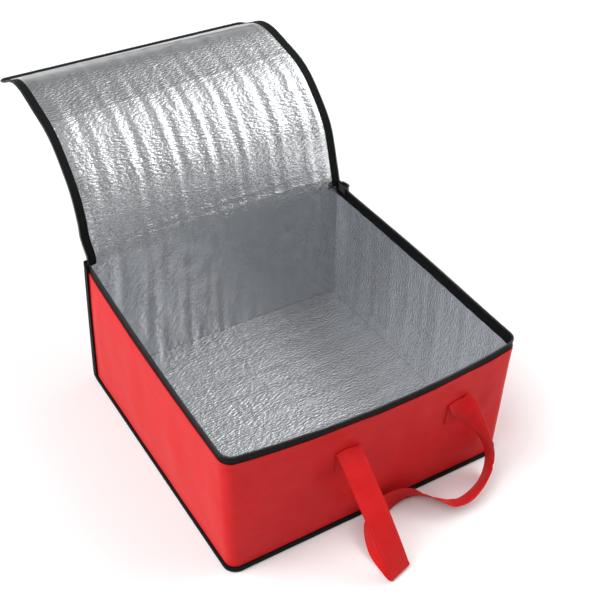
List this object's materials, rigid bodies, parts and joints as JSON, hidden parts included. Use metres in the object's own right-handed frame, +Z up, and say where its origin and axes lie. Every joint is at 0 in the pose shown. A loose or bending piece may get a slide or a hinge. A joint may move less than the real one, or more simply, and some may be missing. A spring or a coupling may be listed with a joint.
{
  "type": "insulated carrier bag",
  "caption": "Soft square insulated bag with a foil lining, a zipped lid hinged on its back panel, bound seams and two loose strap handles.",
  "frame": {"origin": "on the floor under the middle of the base", "axes": "+Z up, -Y out of the front wall, +X to the right as seen from the front; the lid is hinged along the back, at +Y"},
  "size_m": [0.4092, 0.8031, 0.3676],
  "materials": {
    "red_nonwoven": "spun-bonded polypropylene with a thin glossy film",
    "foil_lining": "aluminised film, finely crinkled, on soft foam",
    "black_tape": "woven polyester tape",
    "black_coil": "nylon coil",
    "black_enamel": "black enamel on zinc alloy"
  },
  "bodies": {
    "bag_body": {"base_outer": "red_nonwoven", "base_lining": "foil_lining", "base_binding": "black_tape", "side_wrap_outer": "red_nonwoven", "side_wrap_lining": "foil_lining", "back_outer": "red_nonwoven", "back_lining": "foil_lining", "back_left_binding": "black_tape", "back_right_binding": "black_tape", "rim_zip_tape": "black_tape", "rim_zip_coil": "black_coil", "zip_stop_left": "black_enamel", "zip_stop_right": "black_enamel", "front_patch_left": "red_nonwoven", "front_patch_right": "red_nonwoven", "back_patch_left": "red_nonwoven", "back_patch_right": "red_nonwoven"},
    "lid_strip_1": {"lid_outer_1": "red_nonwoven", "lid_lining_1": "foil_lining", "lid_zip_left_1": "black_tape", "lid_zip_right_1": "black_tape"},
    "lid_strip_2": {"lid_outer_2": "red_nonwoven", "lid_lining_2": "foil_lining", "lid_zip_left_2": "black_tape", "lid_zip_right_2": "black_tape"},
    "lid_strip_3": {"lid_outer_3": "red_nonwoven", "lid_lining_3": "foil_lining", "lid_zip_left_3": "black_tape", "lid_zip_right_3": "black_tape"},
    "lid_strip_4": {"lid_outer_4": "red_nonwoven", "lid_lining_4": "foil_lining", "lid_zip_front": "black_tape"},
    "zip_slider": {"zip_slider": "black_enamel"},
    "zip_pull": {"zip_pull": "black_enamel"},
    "front_handle": {"front_handle": "red_nonwoven"},
    "back_handle": {"back_handle": "red_nonwoven"}
  },
  "joints": [
    {"name": "lid_hinge", "type": "hinge", "parent": "bag_body", "child": "lid_strip_1", "pos_m": [0, 0.1952, 0.20215], "axis": [1, 0, 0], "range_deg": [0, 102]},
    {"name": "lid_bend_2", "type": "hinge", "parent": "lid_strip_1", "child": "lid_strip_2", "pos_m": [0, 0.21757, 0.2843], "axis": [1, 0, 0], "range_deg": [0, 37]},
    {"name": "lid_bend_3", "type": "hinge", "parent": "lid_strip_2", "child": "lid_strip_3", "pos_m": [0, 0.28549, 0.34334], "axis": [1, 0, 0], "range_deg": [0, 32]},
    {"name": "lid_bend_4", "type": "hinge", "parent": "lid_strip_3", "child": "lid_strip_4", "pos_m": [0, 0.40895, 0.36289], "axis": [1, 0, 0], "range_deg": [0, 34]},
    {"name": "zip_run", "type": "slide", "parent": "bag_body", "child": "zip_slider", "axis": [0, -1, 0], "range_m": [0, 0.355]},
    {"name": "pull_swing", "type": "hinge", "parent": "zip_slider", "child": "zip_pull", "pos_m": [0.2038, 0.1827, 0.2017], "axis": [0, -1, 0], "range_deg": [0, 150]},
    {"name": "front_handle_swing", "type": "hinge", "parent": "bag_body", "child": "front_handle", "pos_m": [0, -0.20185, 0.143], "axis": [-1, 0, 0], "range_deg": [0, 140]},
    {"name": "back_handle_swing", "type": "hinge", "parent": "bag_body", "child": "back_handle", "pos_m": [0, 0.20185, 0.143], "axis": [1, 0, 0], "range_deg": [0, 145]}
  ],
  "couplings": [
    {"joint": "lid_bend_2", "follows": "lid_hinge", "ratio": 0.36274},
    {"joint": "lid_bend_3", "follows": "lid_hinge", "ratio": 0.31372},
    {"joint": "lid_bend_4", "follows": "lid_hinge", "ratio": 0.33333}
  ]
}
